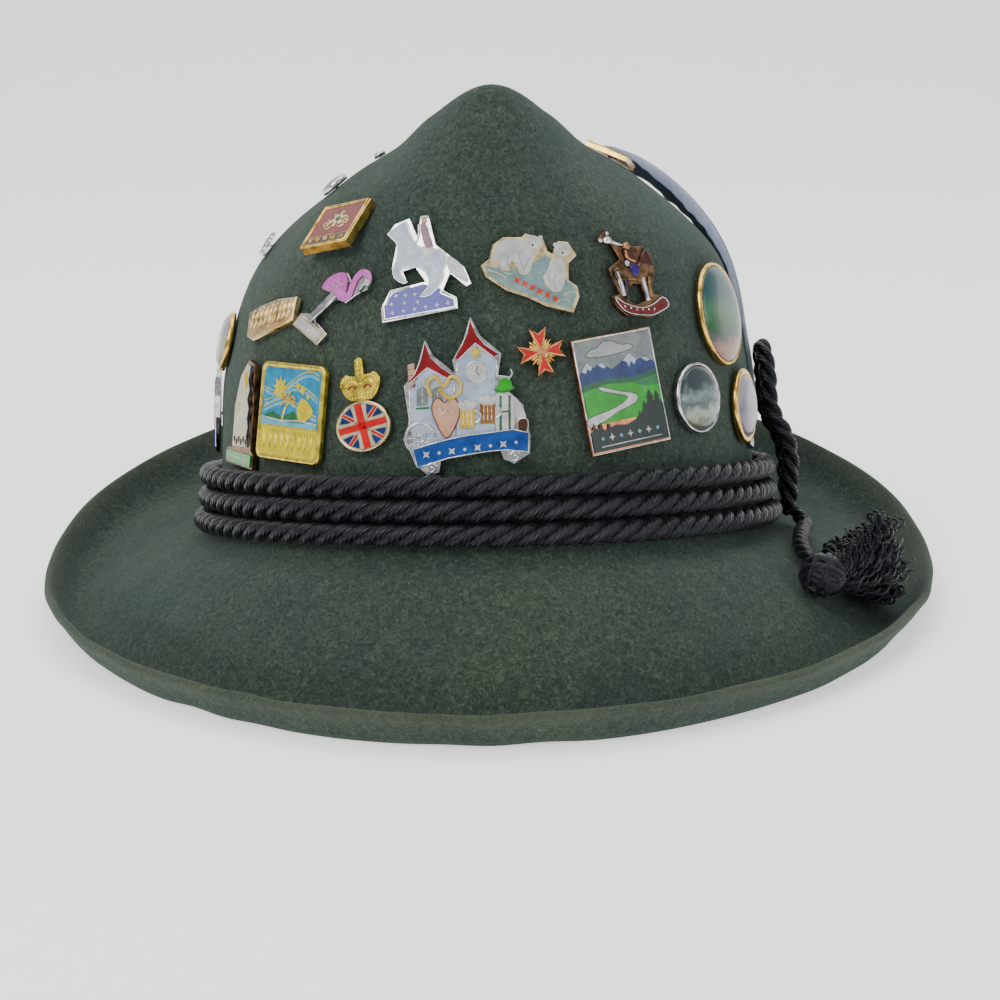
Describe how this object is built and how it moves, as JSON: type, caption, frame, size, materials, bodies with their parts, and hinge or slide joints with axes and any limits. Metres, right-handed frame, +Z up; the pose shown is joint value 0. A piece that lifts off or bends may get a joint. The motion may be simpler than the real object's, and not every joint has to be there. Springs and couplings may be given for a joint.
{
  "type": "tyrolean hat",
  "caption": "Felt alpine hat with a pinched teardrop crown, upturned back brim, twisted cord band, cord loop, knotted tassel, feather and souvenir pins.",
  "frame": {"origin": "centre of the bottom of the hat's bounding box, on the surface that the hat rests on, measured without the free cord tail and its tassel", "axes": "+Z up from the resting surface, -Y towards the front of the brim, +X towards the wearer's left, where the loop, tassel and feather are"},
  "size_m": [0.2824, 0.3002, 0.1646],
  "materials": {
    "felt": "dense dark grey-green felt with a fine mottled nap",
    "cord": "black satin yarn twisted in three strands",
    "tassel_thread": "black frayed satin thread, soft sheen",
    "feather": "smooth matt blue-grey barbs on a pale quill",
    "gold_metal": "polished gold-coloured plating, lightly worn",
    "silver_metal": "polished silver-coloured plating, lightly worn",
    "dark_bronze": "dark bronze-coloured relief with bright edges",
    "clutch_metal": "plain stamped brass-coloured metal",
    "white_enamel": "glossy white enamel",
    "red_enamel": "glossy red enamel",
    "blue_enamel": "glossy blue enamel",
    "green_enamel": "glossy dark green enamel",
    "pink_enamel": "glossy pink enamel",
    "clear_dome": "clear glossy dome over a coloured picture"
  },
  "bodies": {
    "root": {"felt_body": "felt", "band_cord_1": "cord", "band_cord_2": "cord", "band_cord_3": "cord", "cord_loop": "cord", "cord_tail": "cord", "tassel": "tassel_thread", "feather": "feather", "pin_red_frame": "red_enamel", "clutch_red_frame": "clutch_metal", "pin_horse": "white_enamel", "clutch_horse": "clutch_metal", "pin_bears": "white_enamel", "clutch_bears": "clutch_metal", "pin_rider": "dark_bronze", "clutch_rider": "clutch_metal", "pin_picture": "gold_metal", "clutch_picture": "clutch_metal", "pin_crown_flag": "gold_metal", "clutch_crown_flag": "clutch_metal", "pin_towers": "white_enamel", "clutch_towers": "clutch_metal", "pin_cross": "red_enamel", "clutch_cross": "clutch_metal", "pin_landscape": "blue_enamel", "clutch_landscape": "clutch_metal", "pin_dome_green": "clear_dome", "clutch_dome_green": "clutch_metal", "pin_dome_silver": "clear_dome", "clutch_dome_silver": "clutch_metal", "pin_dome_gold": "clear_dome", "clutch_dome_gold": "clutch_metal", "pin_stud": "silver_metal", "clutch_stud": "clutch_metal", "pin_flamingo": "pink_enamel", "clutch_flamingo": "clutch_metal", "pin_relief": "gold_metal", "clutch_relief": "clutch_metal", "pin_disc_side": "clear_dome", "clutch_disc_side": "clutch_metal", "pin_bottle": "white_enamel", "clutch_bottle": "clutch_metal", "pin_shield_side": "blue_enamel", "clutch_shield_side": "clutch_metal", "pin_chain": "silver_metal", "clutch_chain": "clutch_metal", "pin_disc_top": "silver_metal", "clutch_disc_top": "clutch_metal", "pin_bead": "silver_metal", "clutch_bead": "clutch_metal", "pin_square_top": "green_enamel", "clutch_square_top": "clutch_metal"}
  },
  "joints": []
}
